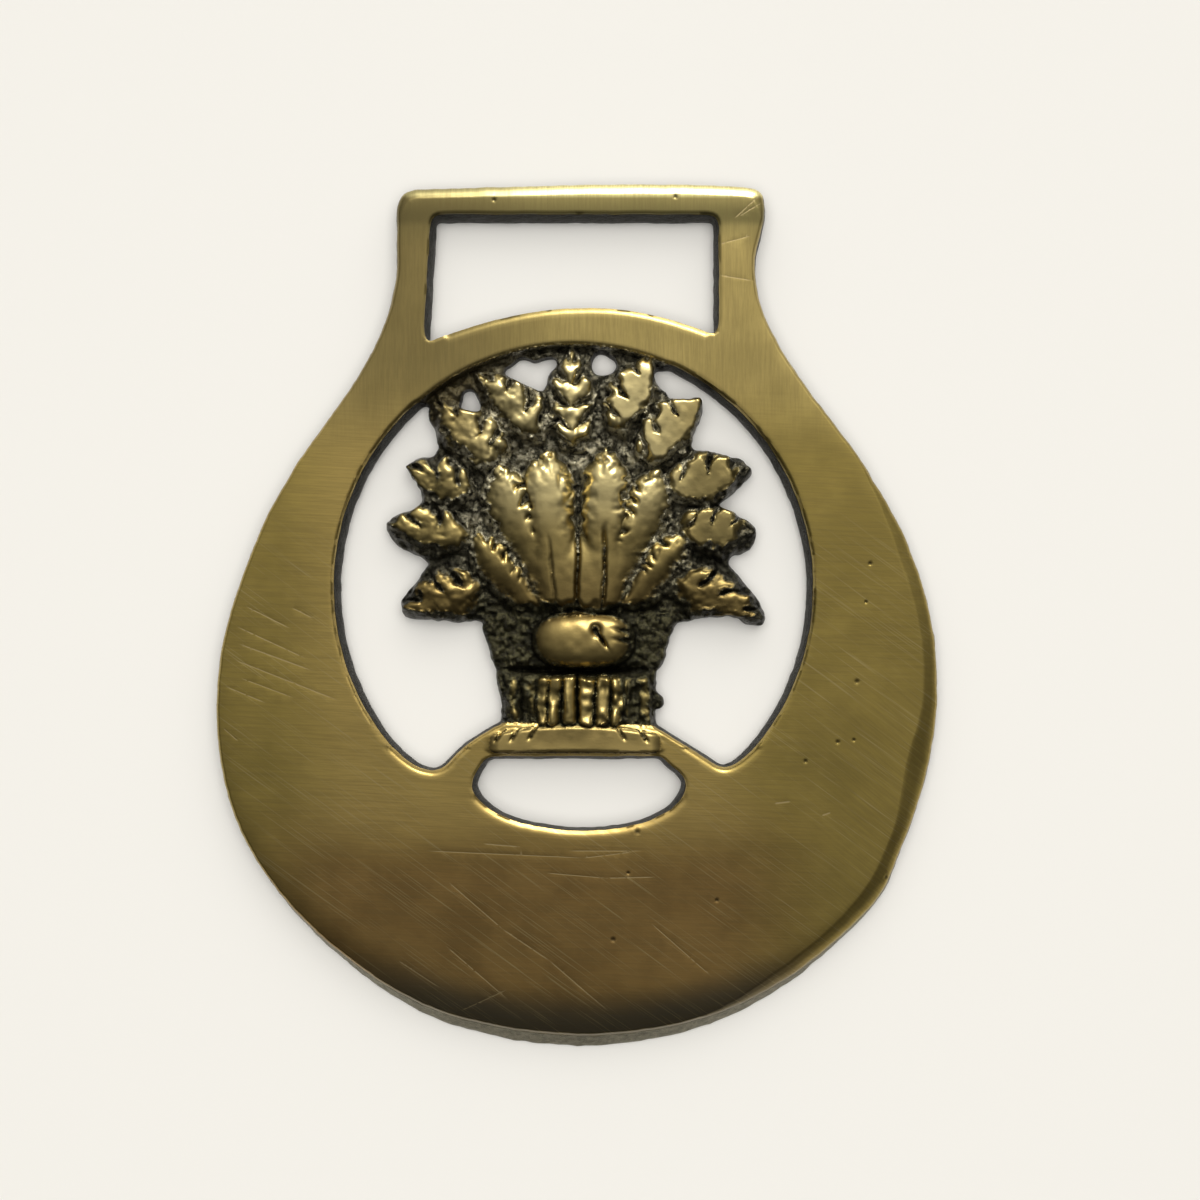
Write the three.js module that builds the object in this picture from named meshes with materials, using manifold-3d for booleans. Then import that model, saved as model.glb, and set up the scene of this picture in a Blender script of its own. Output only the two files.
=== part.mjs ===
// A cast horse brass with a sheaf of corn, lying on its back. Millimetres: X runs across it, Y towards
// the strap loop, Z up out of its face. The origin is under the middle of its bounding box.
import * as THREE from "three";
import { mergeVertices } from "three/addons/utils/BufferGeometryUtils.js";
import Module from "manifold-3d";

const wasm = await Module();
wasm.setup();

// Driving dimensions
const PLATE = { thickness: 3.2, rimWidth: 1.1, rimDepth: 1.3, cornerEase: 0.35 };
const BODY = { y: -7.2, radius: 36.05, from: -215, to: 35, step: 5 };
const SLOT = { left: -14.2, right: 13.6, top: 39.4, floorLeft: 27.2, floorRight: 27.9, crown: 30.5 };
const WINDOW = { x: -0.44, y: 2.6, halfWidth: 23.4, halfHeight: 24, leftEnd: -140, rightEnd: -42 };
const FLASH = { from: 62, to: 128, depth: 1.1, height: 1.6 };
const FOOT = { left: -7.7, right: 7.8, top: -11, base: -14.2, height: 4 };
const OVAL = { left: -10.2, right: 10.4, top: -14.4, middle: -17, bottom: -21.3 };
const SHEAF = { slab: 2.1, pad: 2.5, sunk: 0.15, crest: 3.9, innerCrest: 4.3, wall: 0.25 };
const STALK = { radius: 1, lift: 0.7, reach: 0.4 };
const FAN = { x: 0.2, y: 4.6, across: 10.5, along: 17, crest: 3.5 };
const TRUNK = { topLeft: -9.3, topRight: 9.7, left: -7.6, right: 7.7, top: 0.2, bottom: -11.6 };
const KNOT = { x: 0.4, y: -2.5, across: 9.6, along: 5.6, crest: 4.7 };
const BUTTS = { count: 9, left: -6.8, right: 5.9, top: -5.7, bottom: -11.4, radius: 0.85 };

// Swells that hand filing left on the round edge: the angle in degrees, the height and the spread.
const SWELLS = [
  { at: -201, height: -0.7, spread: 16 },
  { at: -158, height: 0.73, spread: 19 },
  { at: -115, height: 0.27, spread: 10 },
  { at: -52, height: 0.5, spread: 26 },
  { at: -35, height: 0.6, spread: 7 },
];

// The outer ears, from lower left over the top to lower right: tip, heel and width.
const EARS = [
  { tip: [-17.9, 0.5], heel: [-8.8, 2.2], width: 6 },
  { tip: [-19.4, 9], heel: [-10.2, 8], width: 5.4 },
  { tip: [-17.4, 15], heel: [-9.4, 12.6], width: 4.8 },
  { tip: [-14.8, 23.2], heel: [-8.4, 15], width: 5.2 },
  { tip: [-10.4, 24.6], heel: [-3.6, 18.2], width: 4.6 },
  { tip: [-0.4, 27.2], heel: [0, 17.2], width: 4.3 },
  { tip: [6.7, 26.5], heel: [3.8, 17.6], width: 4.6 },
  { tip: [12.6, 21.8], heel: [7, 15.2], width: 5 },
  { tip: [17.6, 14.8], heel: [9, 12.4], width: 5.2 },
  { tip: [18.2, 8.4], heel: [10.2, 7.6], width: 5.4 },
  { tip: [18.9, 0], heel: [9.6, 3], width: 6.2 },
];

// The inner ears: tip, heel and width, and where their stalk meets the band.
const INNER_EARS = [
  { tip: [-11, 8.4], heel: [-3.2, 0.4], width: 4.4, stalk: -3.5 },
  { tip: [-8.9, 14], heel: [-2.4, 2], width: 5, stalk: -2.2 },
  { tip: [-2.8, 16.2], heel: [-1.1, 0.6], width: 5.4, stalk: -0.8 },
  { tip: [3, 16.3], heel: [1.3, 0.6], width: 5.2, stalk: 0.9 },
  { tip: [8.9, 13.9], heel: [2.8, 2], width: 5, stalk: 2.4 },
  { tip: [11.2, 8.4], heel: [3.8, 0.6], width: 4.4, stalk: 3.9 },
];

// The web of metal between the ears runs through the valleys of the sheaf's outline.
const WEB = [
  [-9.4, -0.6], [-14.9, 5.1], [-15.7, 11.4], [-14, 16.6], [-11.6, 20.2], [-7.5, 22.8],
  [-3.6, 22.3], [2.2, 24], [8, 22.8], [11.6, 17], [14.4, 11.2], [15.3, 5.1], [9.9, -0.6],
];

const CUT_PAST = 0.05;
const EAR_RINGS = 12;
const EAR_SIDES = 10;
const OUTER_LEAN = 0.85;
const INNER_LEAN = 1.5;
const KERNELS = 4;
const KERNEL_DEPTH = 0.09;

const point = ([x, y]) => new THREE.Vector2(x, y);
const bend = (steps, ...corners) => new THREE.CubicBezierCurve(...corners.map(point)).getPoints(steps);

// A closed geometry as a solid that can be joined and cut.
function solid(geometry) {
  const shell = geometry.index ? geometry.toNonIndexed() : geometry.clone();
  shell.deleteAttribute("normal");
  shell.deleteAttribute("uv");
  const merged = mergeVertices(shell, 1e-4);
  const corners = merged.index.array;
  const kept = [];
  for (let i = 0; i < corners.length; i += 3) {
    const [a, b, c] = corners.slice(i, i + 3);
    if (a !== b && b !== c && c !== a) kept.push(a, b, c);
  }
  const vertProperties = merged.attributes.position.array;
  return new wasm.Manifold(new wasm.Mesh({ numProp: 3, vertProperties, triVerts: new Uint32Array(kept) }));
}

// An outline extruded from below the back up to a height, with its upper edge eased inwards.
// A negative ease widens a cutter at the top instead, which eases the edge of the hole that it cuts.
function slab(points, height, ease = 0, easeDepth = Math.abs(ease), steps = 1) {
  const geometry = new THREE.ExtrudeGeometry(new THREE.Shape(points), {
    depth: height + 2 - 2 * easeDepth,
    bevelEnabled: ease !== 0,
    bevelSize: ease,
    bevelThickness: easeDepth,
    bevelOffset: -ease,
    bevelSegments: steps,
  });
  return solid(geometry.translate(0, 0, ease === 0 ? -2 : easeDepth - 2));
}

// The round lower edge: a circle with the filed swells on it.
function bodyPoint(angle) {
  const swell = ({ at, height, spread }) => height * Math.exp(-(((angle - at) / spread) ** 2));
  const radius = BODY.radius + SWELLS.reduce((sum, each) => sum + swell(each), 0);
  const turn = THREE.MathUtils.degToRad(angle);
  return new THREE.Vector2(radius * Math.cos(turn), BODY.y + radius * Math.sin(turn));
}

// The whole outer edge, anticlockwise from the left shoulder: round body, right shoulder, loop, left shoulder.
function outerEdge() {
  const round = [];
  for (let angle = BODY.from; angle <= BODY.to; angle += BODY.step) round.push(bodyPoint(angle));
  const [start, end] = [round[0].toArray(), round[round.length - 1].toArray()];
  return [
    ...round,
    ...bend(9, end, [27.2, 18.5], [17.8, 26.7], [17.8, 34.5]).slice(1),
    ...bend(3, [17.8, 34.5], [17.8, 37], [18.8, 38.4], [18.8, 40.4]).slice(1),
    ...bend(4, [18.8, 40.4], [18.8, 42.2], [18.2, 42.6], [16.6, 42.8]).slice(1),
    ...bend(4, [16.6, 42.8], [8, 43.4], [-6, 42.9], [-15.6, 42.6]).slice(1),
    ...bend(4, [-15.6, 42.6], [-17.6, 42.5], [-18.2, 41.6], [-18.2, 40]).slice(1),
    ...bend(9, [-18.2, 35.4], [-18.2, 26.3], [-25.9, 19.4], start).slice(0, -1),
  ];
}

// The strap slot: flat above, where the strap bears, and crowned below, where the arch runs through it.
function strapSlot() {
  const { left, right, top, floorLeft, floorRight, crown } = SLOT;
  const rise = [4 / 3, crown - (floorLeft + floorRight) / 2];
  const lift = rise[0] * rise[1];
  const third = (right - left) / 3;
  const floor = bend(
    8, [left - 0.7, floorLeft], [left + third, floorLeft + lift], [right - third, floorRight + lift], [right, floorRight],
  );
  return [...floor, point([right, top]), point([left, top])];
}

// The round window, closed below by a notch on each side and the curves that rise to the foot.
function windowEdge() {
  const { x, y, halfWidth, halfHeight, leftEnd, rightEnd } = WINDOW;
  const [from, to] = [rightEnd, leftEnd + 360].map(THREE.MathUtils.degToRad);
  const arch = new THREE.EllipseCurve(x, y, halfWidth, halfHeight, from, to).getPoints(48);
  const [right, left] = [arch[0].toArray(), arch[arch.length - 1].toArray()];
  return [
    ...arch,
    ...bend(5, left, [-16, -15.4], [-14.2, -16.2], [-12.9, -14.3]).slice(1),
    ...bend(4, [-12.9, -14.3], [-11.6, -12.9], [-10, -11.8], [FOOT.left, FOOT.top + 0.4]).slice(1),
    ...bend(4, [FOOT.right, FOOT.top], [10.2, -12.4], [11.4, -13.2], [13.6, -14.6]),
    ...bend(3, [13.6, -14.6], [14.4, -15.4], [14.9, -15.4], right).slice(1, -1),
  ];
}

// The oval slot under the foot: nearly straight above and round below.
function ovalSlot() {
  const { left, right, top, middle, bottom } = OVAL;
  return [
    ...bend(9, [left, middle], [left + 1.2, bottom - 1.3], [right - 0.8, bottom - 1.7], [right, middle]),
    ...bend(3, [right, middle], [right - 0.2, top - 1.4], [right - 1.9, top - 0.8], [right - 2.2, top]).slice(1),
    ...bend(3, [left + 1.9, top], [left + 1, top], [left + 0.6, top - 1.4], [left, middle]).slice(0, -1),
  ];
}

function plate() {
  const { thickness, rimWidth, rimDepth, cornerEase } = PLATE;
  const cutter = (edge) => slab(edge, thickness + CUT_PAST, -cornerEase);
  const holes = [strapSlot(), windowEdge(), ovalSlot()].map(cutter);
  return holes.reduce((body, hole) => body.subtract(hole), slab(outerEdge(), thickness, rimWidth, rimDepth, 3));
}

// A pointed leaf from heel to tip, widest two fifths of the way along, as an outline.
function leaf({ tip, heel, width }) {
  const [a, b] = [point(heel), point(tip)];
  const along = b.clone().sub(a);
  const across = new THREE.Vector2(-along.y, along.x).setLength(width / 2);
  const place = (share, side) => a.clone().addScaledVector(along, share).addScaledVector(across, side).toArray();
  const half = (side) => bend(5, place(0, 0), place(0.1, side * 1.3), place(0.55, side * 1.25), place(1, 0));
  return [...half(-1), ...half(1).reverse().slice(1, -1)];
}

// An ear of corn lying on the sheaf: a body of revolution whose rings swell and narrow into kernels,
// flattened to the height of the relief. A greater lean puts its widest ring nearer the tip.
function ear({ tip, heel, width }, crest, lean, kernelDepth) {
  const level = SHEAF.slab - SHEAF.sunk;
  const [a, b] = [point(heel), point(tip)];
  const length = a.distanceTo(b);
  const profile = [];
  for (let ring = 0; ring <= EAR_RINGS; ring += 1) {
    const share = ring / EAR_RINGS;
    const body = Math.sin(Math.PI * share ** lean) ** 0.75;
    const kernels = 1 + kernelDepth * Math.cos(2 * Math.PI * KERNELS * share);
    profile.push(new THREE.Vector2(0.46 * width * Math.max(body, 0) * kernels, length * share));
  }
  profile[0].x = 0;
  profile[EAR_RINGS].x = 0;
  const turn = Math.atan2(b.y - a.y, b.x - a.x) - Math.PI / 2;
  const geometry = new THREE.LatheGeometry(profile, EAR_SIDES)
    .scale(1, 1, (crest - level) / (0.46 * width))
    .rotateZ(turn)
    .translate(a.x, a.y, level);
  return solid(geometry);
}

// A tapering round rod between two points on the sheaf.
function rod(from, to, radius, level) {
  const [a, b] = [point(from), point(to)];
  const turn = Math.atan2(b.y - a.y, b.x - a.x) - Math.PI / 2;
  const length = a.distanceTo(b);
  const rim = [[0, 0], [radius, 0.3 * radius], [radius, length - 0.5 * radius], [0, length]];
  const geometry = new THREE.LatheGeometry(rim.map(point), 8).rotateZ(turn).translate(a.x, a.y, level);
  return solid(geometry);
}

function web() {
  const curve = new THREE.SplineCurve(WEB.map(point));
  return slab(curve.getPoints(3 * WEB.length), SHEAF.slab, SHEAF.wall);
}

// The ears, the stalks between them and the web that carries them.
function sheaf() {
  const outerEar = (each) => ear(each, SHEAF.crest, OUTER_LEAN, KERNEL_DEPTH);
  const outer = EARS.flatMap((each) => [slab(leaf(each), SHEAF.pad), outerEar(each)]);
  const inner = INNER_EARS.map((each) => ear(each, SHEAF.innerCrest, INNER_LEAN, KERNEL_DEPTH / 3));
  const stalks = INNER_EARS.map(({ heel, tip, stalk }) => {
    const join = point(heel).lerp(point(tip), STALK.reach).toArray();
    return rod([stalk, TRUNK.top], join, STALK.radius, SHEAF.slab + STALK.lift);
  });
  return [web(), archFlash(), dome(FAN), ...outer, ...inner, ...stalks];
}

// A smooth swelling on the sheaf, such as the body of the fan and the knot: half of a flattened ball.
function dome({ x, y, across, along, crest }) {
  const level = SHEAF.slab - SHEAF.sunk;
  const ball = new THREE.SphereGeometry(0.5, 20, 12).scale(across, along, 2 * (crest - level));
  return solid(ball.translate(x, y, level));
}

// Flash left under the arch, between the tips of the upper ears.
function archFlash() {
  const { x, y, halfWidth, halfHeight } = WINDOW;
  const [from, to] = [FLASH.from, FLASH.to].map(THREE.MathUtils.degToRad);
  const arc = (grow) => new THREE.EllipseCurve(x, y, halfWidth + grow, halfHeight + grow, from, to).getPoints(12);
  return slab([...arc(1), ...arc(-FLASH.depth).reverse()], FLASH.height);
}

// Below the ears: the band, the knot on it and the ribs of the cut stalks.
function trunk() {
  const { topLeft, topRight, left, right, top, bottom } = TRUNK;
  const edge = [
    ...bend(4, [topLeft, top], [topLeft + 0.4, -4.6], [left, -7], [left, bottom]),
    ...bend(4, [right, bottom], [right - 0.2, -6.5], [topRight - 0.8, -4.4], [topRight, top]),
  ];
  const gap = (BUTTS.right - BUTTS.left) / (BUTTS.count - 1);
  const ribs = Array.from({ length: BUTTS.count }, (_, index) => {
    const x = BUTTS.left + gap * index;
    return rod([x, BUTTS.bottom], [x, BUTTS.top], BUTTS.radius, SHEAF.slab + 0.7);
  });
  return [slab(edge, SHEAF.slab + 0.6, SHEAF.wall), dome(KNOT), ...ribs];
}

// The foot that the sheaf stands on: a smooth bar, straight below and arched above, with flared ends.
function foot() {
  const { left, right, top, base, height } = FOOT;
  const bar = [
    ...bend(8, [left - 2, base + 1.4], [left + 2, top + 0.4], [right - 2, top + 0.4], [right + 2, base + 1.4]),
    point([right, base]),
    point([left, base]),
  ];
  return slab(bar, height, 0.5, 0.7, 2);
}

// Everything above the back plane, in one piece, with the middle of its outline over the origin.
function casting() {
  const joined = [...sheaf(), ...trunk(), foot()].reduce((body, each) => body.add(each), plate());
  const above = solid(new THREE.BoxGeometry(200, 200, 20).translate(0, 0, 10));
  const mesh = joined.intersect(above).getMesh();
  const geometry = new THREE.BufferGeometry()
    .setAttribute("position", new THREE.BufferAttribute(mesh.vertProperties, 3))
    .setIndex(new THREE.BufferAttribute(mesh.triVerts, 1));
  geometry.computeBoundingBox();
  const middle = geometry.boundingBox.getCenter(new THREE.Vector3());
  return geometry.translate(-middle.x, -middle.y, 0);
}

const brass = new THREE.MeshStandardMaterial({ color: 0x8d7a42, roughness: 0.38, metalness: 1 });
const horseBrass = new THREE.Mesh(casting(), brass);
horseBrass.name = "horse_brass";

const group = new THREE.Group();
group.add(horseBrass);

export default group;
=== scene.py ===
import bpy
import numpy as np
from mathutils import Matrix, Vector
from mathutils.geometry import delaunay_2d_cdt


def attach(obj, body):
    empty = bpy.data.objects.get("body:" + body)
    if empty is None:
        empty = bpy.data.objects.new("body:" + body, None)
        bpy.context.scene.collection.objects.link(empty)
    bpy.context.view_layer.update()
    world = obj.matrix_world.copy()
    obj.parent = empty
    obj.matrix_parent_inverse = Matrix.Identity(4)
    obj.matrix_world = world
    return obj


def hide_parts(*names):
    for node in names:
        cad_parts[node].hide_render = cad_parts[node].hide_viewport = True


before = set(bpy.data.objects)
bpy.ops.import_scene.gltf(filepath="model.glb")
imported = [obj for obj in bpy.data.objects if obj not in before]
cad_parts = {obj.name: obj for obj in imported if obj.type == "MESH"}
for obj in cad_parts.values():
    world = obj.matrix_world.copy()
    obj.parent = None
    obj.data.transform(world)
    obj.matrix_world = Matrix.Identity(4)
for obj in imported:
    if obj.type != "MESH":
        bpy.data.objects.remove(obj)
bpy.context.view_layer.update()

# The casting lies on its back. Plan sizes are in millimetres, with X across the plate and Y towards
# the strap loop, and become metres when a mesh is made. Heights are above the back, angles in degrees.
MM = 0.001
NODE = "horse_brass"
THICKNESS, WEB = 3.2, 2.0
BODY_Y, BODY_RADIUS = -7.2, 36.05
BODY_FROM, BODY_TO = -215, 35
LOOP_FROM = 16
WINDOW_X, WINDOW_Y, WINDOW_HALF_WIDTH, WINDOW_HALF_HEIGHT = -0.44, 2.6, 23.4, 24.0
ARCH_FROM, ARCH_TO = -42, 220
BAND_FOOT = -5.2
NOT_FILED = 9.0
SEED = 1878

# Swells that hand filing left on the round edge: angle, height and spread.
SWELLS = ((-201, -0.7, 16), (-158, 0.73, 19), (-115, 0.27, 10), (-52, 0.5, 26), (-35, 0.6, 7))

# The outer ears, from lower left over the top to lower right: tip, heel, width, crest, the side that
# carries the kernels (1 left of the way to the tip, -1 right, 0 both) and, for some, the height filed to.
EARS = (
    ((-17.8, 0.4), (-9.9, 2.9), 5.9, 3.9, -1),
    ((-19.5, 9.3), (-10.8, 7.8), 5.5, 4.0, -1),
    ((-17.5, 15.0), (-10.6, 11.8), 5.2, 3.9, -1),
    ((-14.4, 21.3), (-7.7, 15.2), 6.6, 4.3, -1),
    ((-10.2, 24.2), (-3.4, 18.2), 5.8, 4.2, -1),
    ((-0.6, 26.6), (-0.6, 16.8), 5.0, 4.3, 0),
    ((7.6, 26.2), (3.9, 18.4), 5.2, 4.7, 1, 4.1),
    ((12.7, 22.4), (6.9, 15.5), 5.7, 4.7, 1, 3.95),
    ((17.5, 14.6), (9.0, 12.5), 5.8, 4.5, 1, 3.8),
    ((18.3, 8.5), (10.4, 8.4), 5.6, 4.5, 1, 3.75),
    ((18.6, -0.5), (9.8, 3.6), 5.8, 3.9, 1),
)

# The inner ears: tip, heel, widths at the heel and near the tip, crest and the side with the barbs.
INNER_EARS = (
    ((-10.3, 7.8), (-4.0, -0.9), 3.6, 4.4, 3.8, -1),
    ((-8.2, 14.5), (-3.0, 1.0), 4.6, 6.0, 4.2, -1),
    ((-3.3, 16.0), (-1.95, -1.2), 4.4, 5.5, 4.6, 0),
    ((2.9, 16.0), (2.2, -1.2), 4.4, 5.3, 4.6, 0),
    ((8.3, 14.2), (3.4, 1.2), 4.6, 5.8, 4.2, 1),
    ((10.6, 7.9), (4.6, -0.7), 3.6, 4.6, 3.8, 1),
)

# The sheaf's edge, down the left and up the right: each step goes to a valley or a tip, and may give the
# bow of the flank that leads there.
LEFT_EDGE = (
    (-14.95, 20.9), (-14.3, 18.6, 0.15), (-13.8, 16.7), (-14.6, 15.8), (-17.3, 15.0, 0.05),
    (-16.4, 13.4, 0.1), (-15.5, 11.4, -0.1), (-16.5, 10.5), (-19.2, 9.3, 0.05), (-18.8, 8.0, 0.1),
    (-16.3, 5.9, 0.08), (-14.8, 5.1, -0.1), (-16.2, 3.2), (-17.7, 1.3, 0.05), (-17.2, -0.3, 0.1),
    (-12.0, -0.7), (-9.5, -0.7), (-9.0, -3.6, 0.03), (-8.2, -6.0), (-7.7, -8.5), (-7.6, -10.7),
)
RIGHT_EDGE = (
    (7.8, -10.9), (7.75, -9.3), (8.5, -8.8, 0.3), (8.3, -8.0, 0.3), (7.6, -7.6), (7.9, -5.8),
    (8.9, -3.9), (9.1, -2.4), (9.9, -0.8), (12.4, -0.3), (15.2, -0.1), (16.6, -0.7),
    (18.3, -1.1, 0.1), (18.7, 0.1, 0.2), (17.2, 2.5, 0.06), (15.1, 5.1), (15.8, 6.2, -0.1),
    (17.0, 6.4, 0.2), (17.7, 7.6, 0.2), (17.8, 8.8, 0.1), (16.2, 9.8), (14.0, 11.0), (15.4, 12.0),
    (17.2, 13.9, 0.05), (17.0, 14.9, 0.3), (15.4, 15.8, 0.1), (11.4, 16.7), (11.7, 18.6),
    (12.5, 21.0, 0.05), (12.2, 21.7, 0.1), (9.2, 21.7, -0.08), (8.0, 22.9), (7.7, 24.4),
)
# Small holes between the top ears, each a smooth loop through its points.
TOP_HOLES = (
    ((-7.3, 24.5), (-7.1, 23.9), (-5.9, 23.3), (-4.6, 22.7), (-3.6, 22.3), (-3.2, 22.8), (-2.9, 24.0),
     (-2.2, 24.9), (-2.3, 25.6), (-3.2, 25.7), (-4.4, 25.3), (-5.8, 25.5)),
    ((1.4, 25.4), (1.5, 24.3), (2.3, 24.0), (3.4, 24.2), (3.9, 25.1), (3.3, 25.8), (2.5, 26.2),
     (1.8, 26.1)),
    ((-11.7, 21.4), (-11.8, 20.7), (-10.9, 20.3), (-9.7, 20.2), (-9.8, 21.0), (-10.2, 22.0),
     (-10.8, 22.5), (-11.4, 22.3)),
)

rng = np.random.default_rng(SEED)


# ---- noise and small helpers
def unit(value):
    """The value held between 0 and 1."""
    return np.clip(value, 0, 1)


def ramp(low, high, value):
    """0 below low, 1 above high and 3t^2 - 2t^3 between."""
    t = unit((value - low) / (high - low))
    return t * t * (3 - 2 * t)


def lattice(i, j, seed):
    """A repeatable random number from -1 to 1 for each whole-number pair."""
    turned = np.sin(i * 127.1 + j * 311.7 + seed * 74.7) * 43758.5453
    return 2 * (turned - np.floor(turned)) - 1


def grain(x, y, size, seed):
    """Value noise from -1 to 1: lattice values blended smoothly over cells of the given size."""
    u, v = x / size, y / size
    i, j = np.floor(u), np.floor(v)
    a, b = u - i, v - j
    a, b = a * a * (3 - 2 * a), b * b * (3 - 2 * b)
    low = lattice(i, j, seed) * (1 - a) + lattice(i + 1, j, seed) * a
    high = lattice(i, j + 1, seed) * (1 - a) + lattice(i + 1, j + 1, seed) * a
    return low * (1 - b) + high * b


def rough_grain(x, y, size, seed):
    """Three octaves of value noise, each half as large and a little weaker."""
    return sum(0.6**k * grain(x, y, size / 2**k, seed + k) for k in range(3)) / 1.96


# ---- outlines
def bend(a, b, c, d, count=40):
    """A cubic Bezier from a to d with the handles b and c."""
    t = np.linspace(0, 1, count)[:, None]
    a, b, c, d = (np.array(p, float) for p in (a, b, c, d))
    return (1 - t) ** 3 * a + 3 * (1 - t) ** 2 * t * b + 3 * (1 - t) * t**2 * c + t**3 * d


def straight(a, b, count=20):
    """Evenly spaced points from a to b."""
    t = np.linspace(0, 1, count)[:, None]
    return np.array(a, float) * (1 - t) + np.array(b, float) * t


def path(start, *steps):
    """A chain from the start: a step with one point is a straight line to it, and a step with three is a
    Bezier with two handles and its end."""
    chain = [np.array([start], float)]
    for step in steps:
        at = chain[-1][-1]
        chain.append((straight(at, step) if np.ndim(step) == 1 else bend(at, *step))[1:])
    return np.vstack(chain)


def bowed(steps, count=12):
    """A chain of flanks: each is a quadratic curve whose middle stands out by bow times its length."""
    flanks, a = [], np.array(steps[0][:2])
    for x, y, *bow in steps[1:]:
        b = np.array((x, y))
        chord = b - a
        middle = (a + b) / 2 + 2 * sum(bow) * np.array((chord[1], -chord[0]))
        t = np.linspace(0, 1, count)[:, None]
        flanks.append((1 - t) ** 2 * a + 2 * (1 - t) * t * middle + t**2 * b)
        a = b
    return np.vstack(flanks)


def closed_spline(points, count=12):
    """A closed Catmull-Rom curve through the points."""
    p = np.array(points, float)
    before, after, far = np.roll(p, 1, 0), np.roll(p, -1, 0), np.roll(p, -2, 0)
    t = np.linspace(0, 1, count, endpoint=False)[:, None, None]
    curve = 0.5 * (2 * p + (after - before) * t + (2 * before - 5 * p + 4 * after - far) * t**2
                   + (3 * p - before - 3 * after + far) * t**3)
    return curve.transpose(1, 0, 2).reshape(-1, 2)


def even(points, spacing):
    """The closed outline walked round with evenly spaced points."""
    loop = np.vstack([points, points[:1]])
    along = np.concatenate([[0], np.cumsum(np.hypot(*np.diff(loop, axis=0).T))])
    keep = np.concatenate([[True], np.diff(along) > 1e-9])
    loop, along = loop[keep], along[keep]
    count = int(round(along[-1] / spacing))
    at = np.linspace(0, along[-1], count, endpoint=False)
    return np.stack([np.interp(at, along, loop[:, k]) for k in (0, 1)], axis=1)


def area(loop):
    """The area inside a loop by the shoelace sum, below 0 where it runs clockwise."""
    x, y = loop.T
    return 0.5 * np.sum(x * np.roll(y, -1) - y * np.roll(x, -1))


def softened(loop, passes):
    """The outline with its corners rounded: each pass averages a point with its two neighbours."""
    for _ in range(passes):
        loop = (np.roll(loop, 1, 0) + 2 * loop + np.roll(loop, -1, 0)) / 4
    return loop


def outward(loop, passes=0):
    """The direction out of the metal, softened, at each point of a loop with metal on its left."""
    tangent = np.roll(loop, -1, 0) - np.roll(loop, 1, 0)
    tangent /= np.maximum(np.hypot(*tangent.T), 1e-9)[:, None]
    return softened(np.stack([tangent[:, 1], -tangent[:, 0]], axis=1), passes)


def body_edge():
    """The round lower edge: radius plus a bell-shaped swell at each filed place."""
    angle = np.linspace(BODY_FROM, BODY_TO, 240)
    radius = BODY_RADIUS + sum(h * np.exp(-(((angle - at) / spread) ** 2)) for at, h, spread in SWELLS)
    turn = np.radians(angle)
    return np.stack([radius * np.cos(turn), BODY_Y + radius * np.sin(turn)], axis=1)


def outer_edge():
    """The plate's outer edge: the round body, the shoulders that sweep in and the strap loop."""
    body = body_edge()
    loop = path(
        body[-1],
        ((27.2, 18.5), (17.8, 26.7), (17.8, 34.5)),
        ((17.8, 37), (18.8, 38.4), (18.8, 40.4)),
        ((18.8, 42.2), (18.2, 42.6), (16.6, 42.8)),
        ((8, 43.4), (-6, 42.9), (-15.6, 42.6)),
        ((-17.6, 42.5), (-18.2, 41.6), (-18.2, 40)),
        (-18.2, 35.4),
        ((-18.2, 26.3), (-25.9, 19.4), body[0]),
    )
    return np.vstack([body, loop[1:-1]])


def strap_slot():
    """The slot for the strap: straight at the top and sides, with an arched lower side."""
    low_left = (-14.9, 27.2)
    arch = ((-4.93, 31.2), (4.33, 31.9), (13.6, 27.9))
    return path(low_left, arch, (13.6, 39.4), (-14.2, 39.4), low_left)[:-1]


def window_arc(start, end):
    """A stretch of the window's ellipse between two angles."""
    turn = np.radians(np.linspace(start, end, 160))
    across = WINDOW_X + WINDOW_HALF_WIDTH * np.cos(turn)
    return np.stack([across, WINDOW_Y + WINDOW_HALF_HEIGHT * np.sin(turn)], axis=1)


def left_neck(start):
    """The window's edge from the ellipse round the lower left corner and up to the foot."""
    corner = ((-16, -15.4), (-14.2, -16.2), (-12.9, -14.3))
    return path(start, corner, ((-11.6, -12.9), (-10, -11.8), (-7.7, -10.7)))


def right_neck(end):
    """The window's edge from the foot down and round the lower right corner to the ellipse."""
    neck = ((10.2, -12.4), (11.4, -13.2), (13.6, -14.6))
    return path((7.8, -11), neck, ((14.4, -15.4), (14.9, -15.4), end))


def window_edge():
    """The whole edge of the plate's window and its necks, as if the sheaf weren't there."""
    arch = window_arc(ARCH_FROM, ARCH_TO)
    return np.vstack([arch, left_neck(arch[-1])[1:], right_neck(arch[0])[:-1]])


def left_window():
    """The opening to the left of the sheaf."""
    arc = window_arc(130, ARCH_TO)
    return np.vstack([arc, left_neck(arc[-1])[1:], bowed(LEFT_EDGE)[::-1]])


def right_window():
    """The opening to the right of the sheaf."""
    arc = window_arc(ARCH_FROM, 66)
    return np.vstack([arc, bowed(RIGHT_EDGE)[::-1], right_neck(arc[0])[:-1]])


def oval_slot():
    """The slot below the foot: a bowed lower side, short ends and a straight top."""
    left = (-10.2, -17)
    bow = ((-9, -22.6), (9.6, -23), (10.4, -17))
    right_end = ((10.2, -15.8), (8.5, -15.2), (8.2, -14.4))
    left_end = ((-9.2, -14.4), (-9.6, -15.8), left)
    return path(left, bow, right_end, (-8.3, -14.4), left_end)[:-1]


# ---- places measured on the plan
AT_ONCE = 4000


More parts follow.
